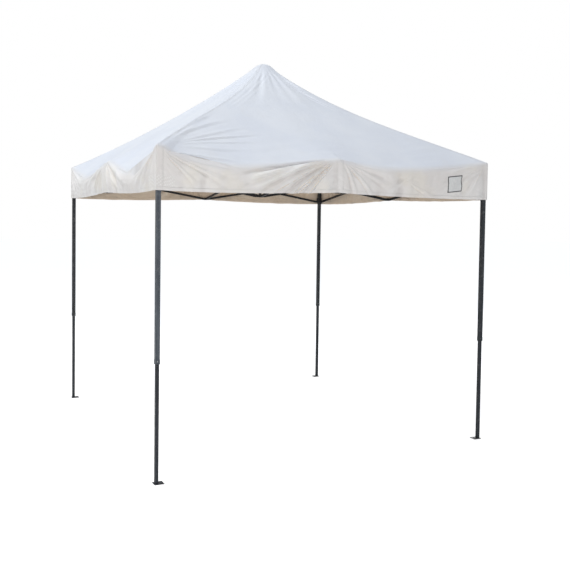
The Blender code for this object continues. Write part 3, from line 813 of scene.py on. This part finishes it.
def coated_steel(name, dark, light, streak):
    """Powder-coated tube: long faint streaks, a fine orange-peel skin and worn edges."""
    m = Shader(name)
    dark, light = colour(*dark), colour(*light)
    along = m.ramp(m.noise(6.0, 4.0, stretch=(14.0, 14.0, 0.5)), 0.35, 0.70)
    mottle = m.ramp(m.noise(55.0, 3.0), 0.40, 0.70)
    tone = m.mix(m.times(along, streak), dark, light)
    tone = m.mix(m.times(mottle, 0.25), tone, light)
    edge = m.ramp(m.add("ShaderNodeNewGeometry").outputs["Pointiness"], 0.53, 0.60)
    scuffs = m.ramp(m.noise(30.0, 6.0), 0.56, 0.66)
    worn = m.times(m.times(edge, scuffs), 0.25)
    tone = m.mix(worn, tone, BARE_METAL)
    skin = m.bump(m.noise(420.0, 2.0), 0.0004, 0.25)
    shine = m.ramp(m.noise(18.0, 3.0), 0.3, 0.7, 0.36, 0.52)
    return m.finish(tone, shine, 0.35, skin)


def moulded_plastic(name, dark, light):
    """Moulded nylon with a fine spark-eroded grain and light scuffs."""
    m = Shader(name)
    mottle = m.ramp(m.noise(24.0, 4.0), 0.35, 0.70)
    scuffs = m.ramp(m.noise(70.0, 6.0, stretch=(1.0, 1.0, 4.0)), 0.60, 0.72)
    tone = m.mix(mottle, colour(*dark), colour(*light))
    tone = m.mix(m.times(scuffs, 0.25), tone, SCUFFED)
    grain = m.bump(m.noise(900.0, 2.0), 0.0003, 0.4)
    shine = m.ramp(m.noise(30.0, 3.0), 0.3, 0.7, 0.46, 0.62)
    return m.finish(tone, shine, 0.0, grain)


def bright_steel(name):
    """Zinc-plated spring steel with fine brushing."""
    m = Shader(name)
    brushing = m.noise(120.0, 3.0, stretch=(1.0, 1.0, 12.0))
    tone = m.mix(brushing, colour(0.50, 0.50, 0.52), colour(0.66, 0.66, 0.67))
    shine = m.ramp(brushing, 0.3, 0.7, 0.25, 0.42)
    return m.finish(tone, shine, 0.95, m.bump(brushing, 0.0002, 0.3))


def dress(node, material):
    """Gives a carried-over CAD node its finish."""
    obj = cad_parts[node]
    for slot in obj.material_slots:
        slot.material = material
    if not obj.material_slots:
        obj.data.materials.append(material)


def dress_frame():
    """The finish of every CAD node but the canopy. The nearest upper leg is a paler grey, which is
    painted light on the same steel as the other legs.
    """
    # The nearest upper leg's paler grey is painted light: a lit copy of the legs' steel.
    near_leg_painted_light = coated_steel("leg_steel_painted_light", (0.060, 0.070, 0.085), (0.115, 0.130, 0.150), 0.8)
    far_leg = coated_steel("leg_steel", (0.020, 0.023, 0.028), (0.050, 0.056, 0.065), 0.6)
    inner_leg = coated_steel("inner_leg_steel", (0.018, 0.021, 0.027), (0.044, 0.050, 0.062), 0.6)
    bars = coated_steel("bar_steel", (0.016, 0.016, 0.018), (0.034, 0.035, 0.038), 0.5)
    connector = moulded_plastic("connector_plastic", (0.012, 0.012, 0.013), (0.024, 0.024, 0.026))
    thumb = moulded_plastic("button_plastic", (0.15, 0.15, 0.16), (0.22, 0.22, 0.23))
    spring = bright_steel("button_steel")
    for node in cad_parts:
        if node == "canopy":
            continue
        if node.endswith("upper_leg"):
            dress(node, near_leg_painted_light if node.startswith("front_left") else far_leg)
        elif node.endswith("lower_leg"):
            dress(node, inner_leg)
        elif node.endswith("leg_button"):
            dress(node, spring)
        elif node.endswith("slider_button"):
            dress(node, thumb)
        elif node.endswith("_bar") or node == "peak_pole":
            dress(node, bars)
        else:
            dress(node, connector)


# Studio

FLOOR_REACH = 60.0
FLOOR_DROP = 0.0005
FLOOR_LIFT = 0.55  # light added to the floor for the camera alone, so that it reads as white paper
SKY_LIGHT = 0.56
LOW_SKY = (1.0, 0.95, 0.88, 1)
HIGH_SKY = (0.80, 0.89, 1.0, 1)


def build_floor():
    r = FLOOR_REACH
    mesh = bpy.data.meshes.new("floor")
    mesh.from_pydata([(-r, -r, 0), (r, -r, 0), (r, r, 0), (-r, r, 0)], [], [(0, 1, 2, 3)])
    floor = bpy.data.objects.new("floor", mesh)
    floor.location.z = -FLOOR_DROP
    bpy.context.scene.collection.objects.link(floor)
    m = Shader("floor")
    tone = m.mix(m.noise(0.6, 2.0), colour(0.90, 0.895, 0.885), colour(0.92, 0.915, 0.905))
    seen = m.add("ShaderNodeLightPath").outputs["Is Camera Ray"]
    m.put(m.surface.inputs["Emission Color"], colour(1.0, 1.0, 1.0))
    m.put(m.surface.inputs["Emission Strength"], m.times(seen, FLOOR_LIFT))
    mesh.materials.append(m.finish(tone, 0.9))


def build_sky():
    """Soft light, warm low down and cool above, in front of a backdrop that is plain white."""
    world = bpy.data.worlds.new("studio")
    bpy.context.scene.world = world
    world.use_nodes = True
    nodes = world.node_tree.nodes
    links = world.node_tree.links
    nodes.clear()
    split = nodes.new("ShaderNodeSeparateXYZ")
    links.new(nodes.new("ShaderNodeTexCoord").outputs["Generated"], split.inputs[0])
    ramp = nodes.new("ShaderNodeValToRGB")
    links.new(split.outputs["Z"], ramp.inputs[0])
    for element, position, tint in zip(ramp.color_ramp.elements, (0.0, 0.9), (LOW_SKY, HIGH_SKY)):
        element.position = position
        element.color = tint
    light = nodes.new("ShaderNodeBackground")
    links.new(ramp.outputs[0], light.inputs["Color"])
    light.inputs["Strength"].default_value = SKY_LIGHT
    backdrop = nodes.new("ShaderNodeBackground")
    backdrop.inputs["Color"].default_value = (1, 1, 1, 1)
    backdrop.inputs["Strength"].default_value = 1.0
    choose = nodes.new("ShaderNodeMixShader")
    seen = nodes.new("ShaderNodeLightPath").outputs["Is Camera Ray"]
    for socket, value in zip(choose.inputs, (seen, light.outputs[0], backdrop.outputs[0])):
        links.new(value, socket)
    links.new(choose.outputs[0], nodes.new("ShaderNodeOutputWorld").inputs["Surface"])


def area_light(name, location, size, power, tint):
    """A square soft light that points at the middle of the object."""
    data = bpy.data.lights.new(name, "AREA")
    data.shape = "SQUARE"
    data.size = size
    data.energy = power
    data.color = tint
    obj = bpy.data.objects.new(name, data)
    obj.location = location
    aim = Vector((0, 0, 1.8)) - Vector(location)
    obj.rotation_euler = aim.to_track_quat("-Z", "Y").to_euler()
    bpy.context.scene.collection.objects.link(obj)


def build_lights():
    area_light("key", (-4.8, 0.5, 8.8), 5.0, 360, (0.97, 1.0, 1.02))
    area_light("fill", (-3.5, -8.6, 2.6), 5.0, 190, (1.0, 0.985, 0.97))
    area_light("back", (7.5, 5.0, 5.0), 5.0, 170, (1.0, 1.0, 1.0))


CAMERA_PLACE = (-3.083, -6.696, 1.885)
CAMERA_HEADING = 26.14  # degrees from +Y towards +X
CAMERA_DIP = 2.33  # degrees below the horizon
CAMERA_ROLL = 0.773
CAMERA_VIEW = 40.48  # degrees across the frame
CAMERA_SHIFT = (0.0114, -0.0587)  # in frame widths


def build_camera():
    yaw, dip, roll = (math.radians(a) for a in (CAMERA_HEADING, CAMERA_DIP, CAMERA_ROLL))
    level_forward = Vector((math.sin(yaw), math.cos(yaw), 0))
    forward = level_forward * math.cos(dip) - Vector((0, 0, math.sin(dip)))
    level = Vector((math.cos(yaw), -math.sin(yaw), 0))
    upright = level.cross(forward)
    right = level * math.cos(roll) + upright * math.sin(roll)
    up = upright * math.cos(roll) - level * math.sin(roll)
    turn = Matrix((right, up, -forward)).transposed().to_4x4()
    data = bpy.data.cameras.new("camera")
    data.angle = math.radians(CAMERA_VIEW)
    data.shift_x, data.shift_y = CAMERA_SHIFT
    camera = bpy.data.objects.new("camera", data)
    camera.matrix_world = Matrix.Translation(Vector(CAMERA_PLACE)) @ turn
    bpy.context.scene.collection.objects.link(camera)
    bpy.context.scene.camera = camera


def build_canopy():
    sides = [Side(i) for i in range(4)]
    share_edges(sides)
    material = canvas()
    build_cap(sides, material)
    for side in sides:
        build_roof(side, material)
        build_valance(side, material)
    build_patch(sides[0], patch_cloth())


bpy.context.scene.view_settings.view_transform = "Standard"
dress_frame()
build_canopy()
build_floor()
build_sky()
build_lights()
build_camera()
